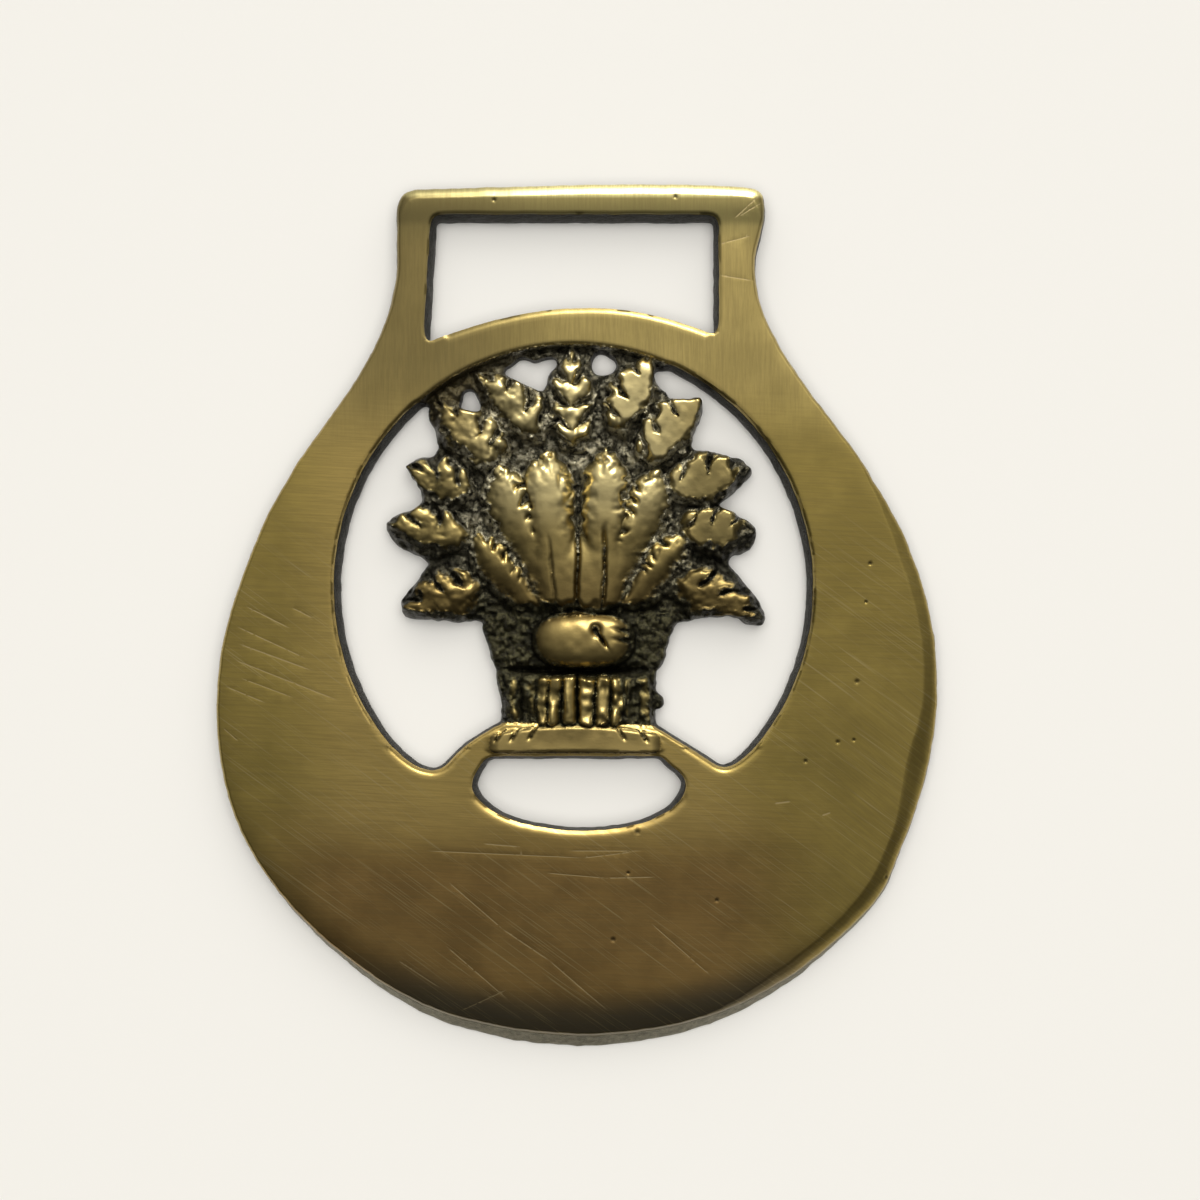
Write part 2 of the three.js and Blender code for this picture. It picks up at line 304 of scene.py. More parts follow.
def distance_to(points, loop):
    """Distance to the closed outline: its nearest corner is found first, then the two edges there."""
    size2 = (loop**2).sum(1)
    some = np.array_split(points, len(points) // AT_ONCE + 1)
    near = np.concatenate([(size2 - 2 * part @ loop.T).argmin(1) for part in some])
    gaps = []
    for start in (near - 1, near):
        corner = loop[start]
        edge = loop[(start + 1) % len(loop)] - corner
        t = ((points - corner) * edge).sum(1) / np.maximum((edge**2).sum(1), 1e-12)
        gaps.append(np.hypot(*(points - corner - unit(t)[:, None] * edge).T))
    return np.minimum(*gaps)


def clearance(points, loops):
    """Distance to the nearest of several closed outlines."""
    return np.min([distance_to(points, loop) for loop in loops], axis=0)


def inside(points, loop):
    """Even-odd rule: inside is where a line to the right crosses the outline an odd number of times."""
    a, b = loop, np.roll(loop, -1, 0)
    rise = np.where(abs(b[:, 1] - a[:, 1]) < 1e-12, 1e-12, b[:, 1] - a[:, 1])
    odd = []
    for some in np.array_split(points, len(points) // AT_ONCE + 1):
        x, y = some[:, :1], some[:, 1:]
        spans = (a[:, 1] > y) != (b[:, 1] > y)
        odd.append((spans & (x < a[:, 0] + (y - a[:, 1]) / rise * (b[:, 0] - a[:, 0]))).sum(1) % 2 == 1)
    return np.concatenate(odd)


def body_angle(points):
    """The angle round the body in degrees, with the whole loop counted as straight up."""
    x, y = points.T
    return np.where(y > LOOP_FROM, 90, np.degrees(np.arctan2(y - BODY_Y, x)))


def bell(value, at, spread):
    """1 at the given value, falling to 0 on both sides."""
    return np.exp(-(((value - at) / spread) ** 2))


def wall_spread(points):
    """How far the side wall leans out below the face: most at the bottom of the body."""
    return 0.22 + 1.15 * bell(body_angle(points), -92, 42)


# ---- scratches and pits on the plate
# Scratches: from, to, half width. Pits: place, size.
SCRATCHES = (
    ((-9.3, -22.7), (-5.7, -23.0), 0.07), ((-14.9, -23.4), (0.6, -24.1), 0.05),
    ((0.6, -24.1), (5.5, -23.5), 0.05), ((-0.8, -23.4), (6.4, -23.4), 0.05),
    ((-3.0, -25.6), (2.8, -26.1), 0.05), ((2.8, -26.1), (7.6, -26.0), 0.06),
    ((-12.7, -26.6), (-7.4, -31.2), 0.06), ((-7.4, -31.2), (-2.8, -34.3), 0.07),
    ((-2.8, -34.3), (3.0, -39.3), 0.06), ((-13.0, -32.9), (-6.9, -38.2), 0.06),
    ((7.4, -30.7), (13.2, -35.8), 0.05), ((-17.8, -34.3), (-13.7, -37.0), 0.06),
    ((-11.5, -39.3), (-7.1, -37.2), 0.05), ((19.5, -18.7), (21.1, -18.5), 0.1),
    ((24.2, -19.9), (25.1, -19.6), 0.09), ((-32.8, 0.8), (-28.6, -1.3), 0.06),
    ((-33.7, -1.2), (-27.0, -4.3), 0.06), ((-33.5, -2.9), (-26.4, -5.5), 0.07),
    ((-33.9, -4.5), (-23.7, -8.5), 0.06), ((-33.3, -6.3), (-28.2, -8.2), 0.05),
    ((-34.9, -7.1), (-31.0, -8.7), 0.06), ((-35.2, -11.2), (-33.7, -12.5), 0.05),
    ((-28.3, 0.7), (-26.3, -0.3), 0.05), ((15.6, 39.4), (17.9, 41.5), 0.06),
    ((16.1, 39.6), (18.2, 40.9), 0.05), ((14.1, 36.8), (17.1, 37.6), 0.05),
    ((14.1, 33.7), (17.2, 33.2), 0.06),
)
PITS = (
    (29.0, 5.1, 0.3), (28.6, 1.3, 0.25), (27.7, -6.6, 0.35), (25.8, -12.6, 0.3), (27.4, -12.4, 0.25),
    (22.6, -14.5, 0.3), (3.5, -32.2, 0.35), (13.8, -28.3, 0.3), (5.0, -25.6, 0.25),
    (30.7, -26.1, 0.35), (5.9, -21.5, 0.4), (-8.3, 41.2, 0.3), (9.7, 41.5, 0.3),
)


def across_scratch(points, start, end):
    """The share of the way along a scratch and the distance to its line."""
    way = np.subtract(end, start)
    length = np.hypot(*way)
    dx, dy = points[:, 0] - start[0], points[:, 1] - start[1]
    return (dx * way[0] + dy * way[1]) / length**2, abs(dy * way[0] - dx * way[1]) / length


def mark_points():
    """Five rows of points along each scratch, and a middle and two rings for each pit."""
    rows = []
    for start, end, half_width in SCRATCHES:
        way = np.subtract(end, start)
        side = np.array((-way[1], way[0])) / np.hypot(*way)
        along = start + np.linspace(-0.02, 1.02, int(np.hypot(*way) / 0.3) + 3)[:, None] * way
        rows += [along + side * half_width * k for k in (-1.2, -0.6, 0, 0.6, 1.2)]
    turn = np.linspace(0, 2 * np.pi, 8, endpoint=False)
    ring = np.stack([np.cos(turn), np.sin(turn)], axis=1)
    for *at, size in PITS:
        rows += [np.array([at]) + 0.01] + [at + ring * size * k for k in (0.5, 0.9, 1.3)]
    return np.vstack(rows)


def mark_depths(points):
    """How much of a scratch and of a pit is at each point, from 0 to 1."""
    scratch, pit = np.zeros(len(points)), np.zeros(len(points))
    for start, end, half_width in SCRATCHES:
        s, gap = across_scratch(points, start, end)
        groove = unit(1 - (gap / (0.9 * half_width)) ** 2)
        groove = groove * ramp(-0.03, 0.1, s) * ramp(1.03, 0.85, s)
        scratch = np.maximum(scratch, groove)
    for *at, size in PITS:
        far = np.hypot(points[:, 0] - at[0], points[:, 1] - at[1]) / (0.8 * size)
        pit = np.maximum(pit, unit(1.15 - far))
    return scratch, pit


# ---- the relief: heights above the back
# The middles of the cut stalks, and the cuts between the stalks above the band: place at the bottom,
# lean, half width, where it starts, where it runs out and depth.
RIBS = (-6.5, -4.9, -3.65, -2.3, -0.8, 0.88, 2.42, 3.92, 5.2, 6.5)
STALK_CUTS = (
    (-0.16, 0.0, 0.2, (0.3, 1.2), (13, 15), 0.55),
    (-2.1, -0.11, 0.16, (0.4, 1.4), (6.5, 8.5), 0.18),
    (2.42, 0.03, 0.2, (0.2, 1), (7.5, 9.5), 0.42),
)
FOOT_NICKS = (-7.6, -6.1, -4.4, 4.2, 6.3, 7.9)


def facet_width(points):
    """How wide the filed facet is: a hair, but a band on the strap bar and an uneven one at the right."""
    angle = body_angle(points)
    bar = 0.7 * ramp(39.4, 41.4, points[:, 1])
    right = ramp(-72, -52, angle) * (1 - ramp(20, 40, angle))
    return 0.3 + bar + right * (1.15 + 0.9 * bell(angle, -13, 8) + 0.35 * bell(angle, -35, 6))


def plate_height(points, to_rim, to_window, to_slots):
    """The flat face: rolled off towards the rim, filed to a facet there and rounded over at openings."""
    x, y = points.T
    angle = body_angle(points)
    low = bell(angle, -92, 45)
    height = THICKNESS + 0.03 * grain(x, y, 9, 5) + 0.012 * grain(x, y, 3.5, 6)
    reach = 1.6 + 3.4 * low
    height -= (0.1 + 0.8 * low) * unit(1 - to_rim / reach) ** 2
    steep = np.where(y > 38, 0.38, 0.45)
    height -= steep * np.clip(facet_width(points) - to_rim, 0, None)
    height -= 0.3 * unit(1 - to_rim / 0.3) ** 2
    for gap, faces_up in to_slots:
        over = np.where(faces_up, 0.55, 0.16)
        height -= 0.5 * over * unit(1 - gap / over) ** 1.5
    over = np.where(y < -13.2, 0.6, 0.18)
    height -= 0.5 * over * unit(1 - np.clip(to_window, 0, None) / over) ** 1.5
    return np.where(to_window < -0.12, height + 5 * (to_window + 0.12), height)


def along_and_across(x, y, heel, tip):
    """Shares of the way from heel to tip, and the distance to the left of that line."""
    way = np.array(tip) - np.array(heel)
    length = np.hypot(*way)
    way = way / length
    dx, dy = x - heel[0], y - heel[1]
    return (dx * way[0] + dy * way[1]) / length, dy * way[0] - dx * way[1]


def softly_higher(a, b, soft):
    """The higher of two surfaces, with a fillet of the given height where they meet."""
    share = unit(0.5 + 0.5 * (a - b) / soft)
    return b + (a - b) * share + soft * share * (1 - share)


def ear_relief(x, y, seed, tip, heel, width, crest, side, filed=NOT_FILED):
    """A leaf with four corners and a blunt heel. One side is a plain slope. The other stays full and is
    cut into kernels: waves along the ear, slanted back from the ridge, with sharp notches between. What
    rises over the height it is worn or filed to is pressed down towards it."""
    s, across = along_and_across(x, y, heel, tip)
    half = 0.5 * width * unit(np.minimum((s + 0.42) / 0.72, (1.03 - s) / 0.5)) ** 0.85 + 0.03
    half = half * (1 + 0.12 * grain(x, y, 1.0, seed + 15) + 0.1 * grain(x, y, 0.5, seed + 16))
    t = across / half
    low = unit(1 - abs(t) ** 1.6) ** 0.85
    full = unit(1 - abs(t) ** 3) ** 0.6
    where = 1.0 if side == 0 else ramp(-0.3, 0.15, side * t)
    body = low * (1 - where) + full * where
    body = body * unit((s + 0.08) / 0.26) ** 0.6 * unit((1.03 - s) / 0.3) ** 0.6
    phase = (3.7 if side else 4.4) * s - 0.75 * abs(t) + 0.2 * grain(x, y, 1.4, seed) + 0.37 * seed
    tooth = abs(np.sin(np.pi * phase)) ** 0.6
    uneven = 0.85 + 0.4 * grain(x, y, 1.1, seed + 30)
    cut = where * (1 - tooth) * ramp(-0.15, 0.4, abs(t)) * uneven
    depth, kept = (0.6, 0.06) if filed < NOT_FILED else (0.8, 0.4)
    height = WEB + (crest - WEB) * body * (1 - depth * unit(cut))
    height += 0.16 * where * tooth * body * grain(x, y, 0.75, seed + 60)
    crumbs = 0.13 * grain(x, y, 0.75, seed + 80) + 0.1 * grain(x, y, 0.4, seed + 81)
    height += crumbs * unit(height - WEB)
    worn_to = min(filed, crest - 0.42)
    return np.where(height > worn_to, worn_to + kept * (height - worn_to), height)


def inner_relief(x, y, tip, heel, narrow, wide, crest, side, seed):
    """A club with a blunt tip. Its ridge runs beside the toothed edge, or down the middle where both
    edges are lightly toothed."""
    shoulder, fullness, depth = (0.82, 2.8, 0.22) if side == 0 else (0.74, 2.0, 0.5)
    s, across = along_and_across(x, y, heel, tip)
    ragged = 0.14 * grain(x, y, 0.9, seed + 10) + 0.12 * grain(x, y, 0.45, seed + 11)
    past = unit((s - shoulder + 0.2 * ragged) / (1.01 - shoulder))
    blunt = np.sqrt(unit(1 - past**2))
    half = 0.5 * (narrow + (wide - narrow) * ramp(0, 0.7, s)) * blunt + 0.03
    half = half * (1 + ragged * ramp(0.35, 0.75, s))
    t = across / half
    top = 0.42 * side
    slope = abs(t - top) / np.where(t > top, 1 - top, 1 + top)
    body = unit(1 - slope**fullness) ** 0.75 * np.where(s > 0, blunt**0.5, 0)
    ridge = WEB + 1.3 + (crest - WEB - 1.3) * ramp(0.1, 0.85, s)
    length = np.hypot(tip[0] - heel[0], tip[1] - heel[1])
    phase = length / 1.4 * s - 0.6 * abs(t) + 0.5 * grain(x, y, 1.1, seed)
    tooth = abs(np.sin(np.pi * phase)) ** 0.7
    edge = ramp(0.55, 0.8, abs(t)) if side == 0 else ramp(0.25, 0.55, side * t)
    where = edge * ramp(0.35, 0.6, s)
    uneven = 0.8 + 0.6 * grain(x, y, 0.8, seed + 40)
    bumps = 0.04 * grain(x, y, 1.6, seed + 20)
    return WEB + (ridge + bumps - WEB) * body * (1 - depth * where * (1 - tooth) * uneven)


def stalk_grooves(x, y):
    """Cuts down the stalks that spread a little as they rise: the middle one is the longest."""
    wave = 0.08 * grain(x, y, 1.5, 31)
    cuts = 0
    for at, lean, width, start, end, depth in STALK_CUTS:
        cut = bell(x + wave, at + lean * y, width) * ramp(*start, y) * (1 - ramp(*end, y))
        cuts = cuts + depth * cut
    return cuts


def knot_relief(x, y):
    """The knot of the band: a full cushion with a torn spot, fading into two barbs at the right."""
    r = (abs((x - 0.6) / 5.2) ** 2.9 + abs((y + 2.52) / 2.85) ** 2.5) ** 0.38
    body = unit(1 - r**3.4) ** 0.5
    torn = bell(np.hypot(x - 1.8, (y + 1.5) * 0.8), 0, 0.45)
    tear_across = (x - 2.3) * 0.83 + (y + 2.3) * 0.56
    tear_along = (x - 2.3) * 0.56 - (y + 2.3) * 0.83
    torn += bell(tear_across, 0, 0.15) * bell(tear_along, 0, 0.9)
    hooks = bell(y + 1.55 + 0.2 * (x - 4.6), 0, 0.22) * bell(x, 4.7, 0.85)
    hooks += bell(y + 2.5 + 0.1 * (x - 4.7), 0, 0.2) * bell(x, 4.7, 0.8)
    fade = 0.5 * ramp(3.6, 5.6, x)
    height = 2.3 + (2.2 - fade) * body - 0.8 * torn * body - 0.7 * hooks * body
    height += (0.07 * grain(x, y, 1.9, 33) + 0.04 * grain(x, y, 0.8, 34)) * body
    return np.where(r < 1, height, 0)


def trunk_relief(x, y):
    """The band, a groove below it and the ribs of the cut stalks, highest in the middle and worn."""
    narrowing = 0.17 * np.minimum(y, 0)
    edge_in = np.clip(np.minimum(x + 9.4 + narrowing, 9.8 + narrowing - x), 0, 1.2)
    band = 2.2 + 0.25 * np.sqrt(edge_in / 1.2) - 0.12 * ramp(-4.2, -5.1, y)
    band = np.where(y > -5.25, band - 1.2 * ramp(-0.4, 1.2, y + 0.3 * grain(x, y, 1.4, 42)), 0)
    groove = (1 - ramp(5.6, 7.2, abs(x))) * bell(y, -5.5, 0.28)
    wander = 0.2 * grain(x, y, 2.2, 41) + 0.08 * grain(x, y, 0.7, 40)
    ribs = [unit(1 - abs((x + wander - at) / 0.82) ** 3.4) ** 0.7 for at in RIBS]
    middle = 1 - ramp(2.9, 5.6, abs(x - 0.3))
    ends = ramp(-5.6, -6.5, y + 0.25 * grain(x, y, 1.1, 43))
    worn = 0.2 * grain(x, y, 0.9, 44) + 0.2 * grain(2 * x, y, 1.6, 45)
    ends = ends * (1 - ramp(-10.7, -11.7, y + 0.2 * grain(x, y, 1.5, 39)))
    between = 2.15 + (0.4 * middle + 0.12 * grain(x, y, 0.6, 46)) * ends
    ribbed = between + (0.75 + 0.6 * middle + worn) * np.max(ribs, axis=0) * ends
    return np.maximum(band, np.where(y < BAND_FOOT, ribbed, 0)) - 0.7 * groove


def foot_relief(x, y):
    """The foot: a bar, steep along its straight lower edge, nicked where it runs up into the ribs."""
    far = abs(x + 0.3)
    top = -10.2 - 0.016 * far**2
    bottom = -13.95 + 0.35 * ramp(7.2, 9.6, far)
    share = unit((y - bottom) / (top - bottom))
    taper = 1 - ramp(7.4, 10.0, far)
    bar = (1.35 * unit(share / 0.16) ** 0.6 - 0.22 * share) * (1 - ramp(0.7, 1.0, share))
    lean = 0.6 * np.sign(x)
    nicks = sum(bell(x - at + lean * (y + 11.6), 0, 0.17) for at in FOOT_NICKS)
    nicks = nicks * ramp(0.4, 0.6, share) * (0.7 + 0.5 * grain(x, y, 1.2, 47))
    height = 2.5 + bar * taper + 0.04 * grain(x, y, 1.8, 48) - 0.4 * nicks * bar * taper
    return np.where((share > 0) & (share < 1) & (taper > 0), height, 0)


def sheaf_relief(x, y):
    """The sheaf: a rough web, the inner ears run together with fillets on a mound and cut between the
    stalks, and then the outer ears, the trunk with its foot, and the knot."""
    web = WEB - 0.1 + 0.35 * rough_grain(x, y, 1.6, 11) - 0.45 * ramp(23.5, 26.5, y)
    wavy = np.where(y > 0, 1, 0)
    x, y = x + wavy * 0.3 * rough_grain(x, y, 2.4, 13), y + wavy * 0.3 * rough_grain(x, y, 2.4, 14)
    inner = [inner_relief(x, y, *ear, seed) for seed, ear in enumerate(INNER_EARS, 70)]
    side = abs(x - 0.2) / (4.1 + 0.28 * np.clip(y, 0, 14))
    mound = WEB + (1.7 - 1.8 * ramp(5, 13.0, y)) * unit(1 - side**5) ** 0.6
    height = softly_higher(mound, web, 0.3)
    for number in (0, 5, 1, 4, 2, 3):
        height = softly_higher(inner[number], height, 0.25)
    height = height - stalk_grooves(x, y)
    height = web + (height - web) * ramp(-0.5, 1.5, y + 0.3 * grain(x, y, 0.8, 15))
    for seed, ear in enumerate(EARS, 50):
        height = np.maximum(height, ear_relief(x, y, seed, *ear))
    height = np.where(y < BAND_FOOT, 0, height)
    trunk = softly_higher(trunk_relief(x, y), foot_relief(x, y), 0.25)
    return np.maximum(np.maximum(height, trunk), knot_relief(x, y))


def proud_with_shade(points):
    """How far the sheaf stands out, with painted shade: its height on a square grid, less the same grid
    blurred over two widths and less its slope where it faces down or outward, read back from the four
    nearest corners."""
    step, low, count = 0.125, np.array((-21.0, -17.0)), np.array((336, 372))
    gx, gy = np.meshgrid(*(low[k] + step * np.arange(count[k]) for k in (0, 1)), indexing="ij")
    height = sheaf_relief(gx, gy)
    fx, fy = np.meshgrid(np.fft.fftfreq(count[0], step), np.fft.fftfreq(count[1], step), indexing="ij")
    waves = np.fft.fft2(height)
    proud_and_shade = sum(height - np.fft.ifft2(waves * np.exp(-2 * (np.pi * wide) ** 2 * (fx**2 + fy**2))).real
                for wide in (0.35, 0.9))
    # Painted shade: flanks that face down the plate or outward count as standing out less, so they come
    # out darker and duller.
    proud_and_shade -= 0.7 * np.clip(np.gradient(height, step, axis=1), 0, 1.5)
    proud_and_shade -= 0.7 * np.clip(-np.tanh(gx / 2) * np.gradient(height, step, axis=0), 0, 1.5)
    u = np.clip((points - low) / step, 0, count - 1.001)
    i = u.astype(int)
    a, b = (u - i).T
    i, j = i.T
    return (proud_and_shade[i, j] * (1 - a) * (1 - b) + proud_and_shade[i + 1, j] * a * (1 - b)
            + proud_and_shade[i, j + 1] * (1 - a) * b + proud_and_shade[i + 1, j + 1] * a * b)


def face(points, to_rim, to_window, to_slots):
    """Height, and wear with painted shade, all over the face: the higher of plate, foot and sheaf. What
    stands out is rubbed bright, most of all the inner ears, and the rest keeps its grain; flanks that
    face down or outward are darkened as painted shade. The right ears' tips are crumbled."""
    x, y = points.T
    plate = plate_height(points, to_rim, to_window, to_slots)
    height = np.where(to_window < 1.2, sheaf_relief(x, y), 0)
    crumbled = ramp(14.9, 16.3, x + 0.6 * grain(x, y, 1.0, 18)) * (y > 4.5)
    height = height - 0.55 * crumbled * np.clip(height - WEB, 0, None)
    foot = np.where(to_window > -1.8, foot_relief(x, y), 0)
    patchy = 0.3 * rough_grain(x, y, 1.3, 17)
    in_fan = 1 - ramp(0.95, 1.35, (x / 12) ** 2 + ((y + 1) / 17.6) ** 2)
    smoother = 0.5 * in_fan * (y > 0)
    proud_and_shade = np.maximum(height, foot) + 0.65 * proud_with_shade(points) + patchy + smoother + 0.3 * (y < -5.3)
    # This value is rubbed wear and painted shade together; it sets the colour, the metal and the grain.
    wear_and_shade = unit((proud_and_shade - 2.2) / 2.4)
    rough = 1 - ramp(0.35, 0.65, wear_and_shade)
    height = height + rough * (0.3 * rough_grain(x, y, 1.0, 21) + 0.24 * grain(x, y, 0.42, 25))
    height = height + 0.02 * grain(x, y, 0.8, 27) - 0.7 * bell(to_window, 0, 0.8) * (y > 15)
    solid = softly_higher(plate, foot, 0.4)
    ahead = ramp(-0.05, 0.05, solid - height)
    solid_wear_and_shade = np.where(foot > plate, wear_and_shade, ramp(-0.2, -0.1, to_window))
    return np.maximum(solid, height), wear_and_shade * (1 - ahead) + solid_wear_and_shade * ahead


# ---- the casting's mesh
# The lean of the sheaf's ragged wall, the depths of a side wall's rings as shares of its height, the
# offsets of the rows of points beside an opening, and a corner to corner box round the plan.
LIP = 0.1
WALL_RINGS = (0.1, 0.3, 0.55, 0.8, 0.93, 1.0)
ROWS_BESIDE = (0.1, 0.22, 0.4, 0.65, 1.0)
PLAN_BOX = (-37, -44), (37, 44)
SHARP_FROM = 48


def as_cast(loop, rough):
    """The edge wanders in and out of its plan by two sizes of noise."""
    x, y = loop.T
    shift = rough * (grain(x, y, 1.7, 91) + grain(x, y, 0.7, 92) + 0.5 * grain(x, y, 0.4, 93))
    return loop + outward(loop) * shift[:, None]


def opening(loop, spacing, passes):
    """The loop evenly spaced, softened and turned to run clockwise."""
    loop = softened(even(loop, spacing), passes)
    return loop[::-1] if area(loop) > 0 else loop


def plan_loops():
    """The outer edge anticlockwise, then every opening clockwise, so that metal is always on the left."""
    outer = as_cast(even(outer_edge(), 0.4), 0.03)
    slots = [as_cast(opening(strap_slot(), 0.3, 2), 0.02), as_cast(opening(oval_slot(), 0.25, 3), 0.03)]
    windows = [opening(w, 0.2, 3) for w in (left_window(), right_window())]
    on_sheaf = [unit(distance_to(w, even(window_edge(), 0.3)) / 0.9) for w in windows]
    windows = [as_cast(w, 0.02 + 0.09 * share) for w, share in zip(windows, on_sheaf)]
    holes = [as_cast(opening(closed_spline(h), 0.2, 2), 0.06) for h in TOP_HOLES]
    return [outer] + slots + windows + holes


def wall_lean(way):
    """How far an opening's wall leans: most where it faces down the plate or sideways."""
    return 0.08 + 0.35 * unit(-way[:, 1:]) + 0.4 * way[:, :1] ** 2


def front_edges(loops, window):
    """Where the face ends: the plan drawn in by the wall's lean, which is slight at the ragged sheaf."""
    edges = [loops[0] - outward(loops[0], 3) * wall_spread(loops[0])[:, None]]
    for loop in loops[1:]:
        way = outward(loop, 4)
        on_sheaf = inside(loop, window) & (distance_to(loop, window) > 0.5)
        lean = softened(np.where(on_sheaf[:, None], LIP, wall_lean(way)), 8)
        edges.append(loop - way * lean)
    return edges


def triangular_grid(low, high, spacing, jitter):
    """Points in staggered rows, each moved at random by up to jitter times the spacing."""
    across = np.arange(low[0], high[0], spacing)
    up = np.arange(low[1], high[1], spacing * 0.866)
    x, y = np.meshgrid(across, up)
    x = x + 0.5 * spacing * (np.arange(len(up)) % 2)[:, None]
    grid = np.stack([x.ravel(), y.ravel()], axis=1)
    return grid + rng.uniform(-jitter, jitter, grid.shape) * spacing


def face_points(edges, window):
    """Points over the face: rows beside the edges, which follow the crease of the rim's facet, a coarse
    grid on the plate and a fine one on the sheaf."""
    crease = facet_width(edges[0])
    facet = [0.12, 0.3] + [crease * share for share in (0.6, 0.85, 1.0)]
    facet += [crease + d for d in (0.15, 0.5, 1.0, 1.8, 2.7)]
    rows, gaps = [], []
    for edge, offsets in zip(edges[:3] + [window], (facet, ROWS_BESIDE, ROWS_BESIDE, ROWS_BESIDE + (0,))):
        way = outward(edge, 4)
        for offset in offsets:
            gap = np.broadcast_to(offset, len(edge))
            rows.append(edge - way * gap[:, None])
            gaps.append(gap)
    rows, gaps = np.vstack(rows), np.concatenate(gaps)
    clear = clearance(rows, edges)
    rows = rows[clear > 0.85 * gaps]

    coarse = triangular_grid(*PLAN_BOX, 0.9, 0.15)
    on_plate = inside(coarse, edges[0]) & ~inside(coarse, window)
    coarse = coarse[(distance_to(coarse, edges[0]) > 0.9) & on_plate]
    coarse = coarse[clearance(coarse, edges[1:3] + [rows]) > 0.35]
    fine = triangular_grid((-20, -16), (20, 28), 0.15, 0.2)
    near = distance_to(fine, window)
    on_foot = (fine[:, 1] < -10.5) & (abs(fine[:, 0]) < 12) & (near < 3.2)
    fine = fine[(inside(fine, window) & (near > 0.07)) | on_foot]
    return np.vstack([
        thinned(rows, edges, 0.1),
        thinned(coarse, edges, 0.5),
        thinned(fine, edges, 0.09),
        thinned(mark_points(), edges, 0.2),
    ])


def thinned(points, edges, clear):
    """Only the points inside the outer edge, outside every opening and clear of all of them."""
    points = points[inside(points, edges[0])]
    for edge in edges[1:]:
        points = points[~inside(points, edge)]
    return points[clearance(points, edges) > clear]


def fill(edges, points):
    """A triangulation of the plan between the edges that uses every point given."""
    ends = np.cumsum([0] + [len(edge) for edge in edges])
    loops = [list(range(a, b)) for a, b in zip(ends[:-1], ends[1:])]
    corners = np.vstack(edges + [points])
    made = delaunay_2d_cdt([Vector(c) for c in corners.tolist()], [], loops, 1, 1e-7, True)
    spread, triangles, source, owners = made[0], np.array(made[2]), made[3], made[5]
    if len(spread) > len(corners):
        print("plan edges cross:", len(spread) - len(corners))
    order = np.array([s[0] for s in source])
    kept = np.array([len(owner) == len(edges) for owner in owners])
    return order[triangles[kept]], ends


def wall_rings(loops, edges, tops):
    """The rings of the side walls down to the back: each wall leans out, is full from a share of its
    height on, wanders a little as cast and is rounded in at the back."""
    rings = []
    for number, (loop, edge, top) in enumerate(zip(loops, edges, tops)):
        x, y = loop.T
        out = outward(loop, 3)
        lean = np.sum((loop - edge) * out, axis=1)
        full_at = 0.78 if number == 0 else 0.5
        for share in WALL_RINGS:
            offset = -lean * (1 - min(share / full_at, 1))
            offset = offset + 0.05 * grain(x + 9 * share, y - 7 * share, 0.9, 95) * (share < 0.97)
            offset -= 0.28 * max(0, (share - 0.9) / 0.1) ** 2
            place = loop + out * offset[:, None]
            rings.append(np.column_stack([place, top * (1 - share)]))
    return rings


def stitched(upper, lower):
    """Two triangles for each step along a ring, facing out of the metal on the ring's left."""
    next_upper, next_lower = np.roll(upper, -1), np.roll(lower, -1)
    return np.vstack([
        np.stack([lower, next_lower, next_upper], axis=1),
        np.stack([lower, next_upper, upper], axis=1),
    ])


def face_surface(plan, edges, window):
    """The height of the face at each plan point, and the values that its finish follows."""
    to_rim = distance_to(plan, edges[0])
    to_window = distance_to(plan, window) * np.where(inside(plan, window), -1, 1)
    to_slots = [
        (distance_to(plan, edges[1]), (plan[:, 1] < 34) & (abs(plan[:, 0]) < 13)),
        (distance_to(plan, edges[2]), plan[:, 1] < -18),
    ]
    to_gap = clearance(plan, edges[3:])
    height, wear_and_shade = face(plan, to_rim, to_window, to_slots)
    height = height - 0.3 * unit(1 - to_gap / 0.3) ** 2
    scratch, pit = mark_depths(plan)
    edge_gap = np.min([to_rim, to_slots[0][0], to_slots[1][0], to_gap], axis=0)
    sheaf = np.where((to_window < 0) | (foot_relief(*plan.T) > 3.3), 1.0, 0.0)
    finish = {"wear_and_shade": wear_and_shade, "edge_gap": edge_gap, "scratch": scratch, "pit": pit, "sheaf": sheaf}
    return height - 0.006 * scratch - 0.1 * pit, finish


def wall_faces(loops, ends, lower_from):
    """The triangles down every wall, and each wall's last ring. A wall starts at its edge's corners on
    the face, and the rings below follow one another from the corner lower_from on."""
    bands, last = [], []
    for number, loop in enumerate(loops):
        upper = np.arange(ends[number], ends[number + 1])
        for _ in WALL_RINGS:
            lower = lower_from + np.arange(len(loop))
            lower_from += len(loop)
            bands.append(stitched(upper, lower))
            upper = lower
        last.append(upper)
    return bands, last


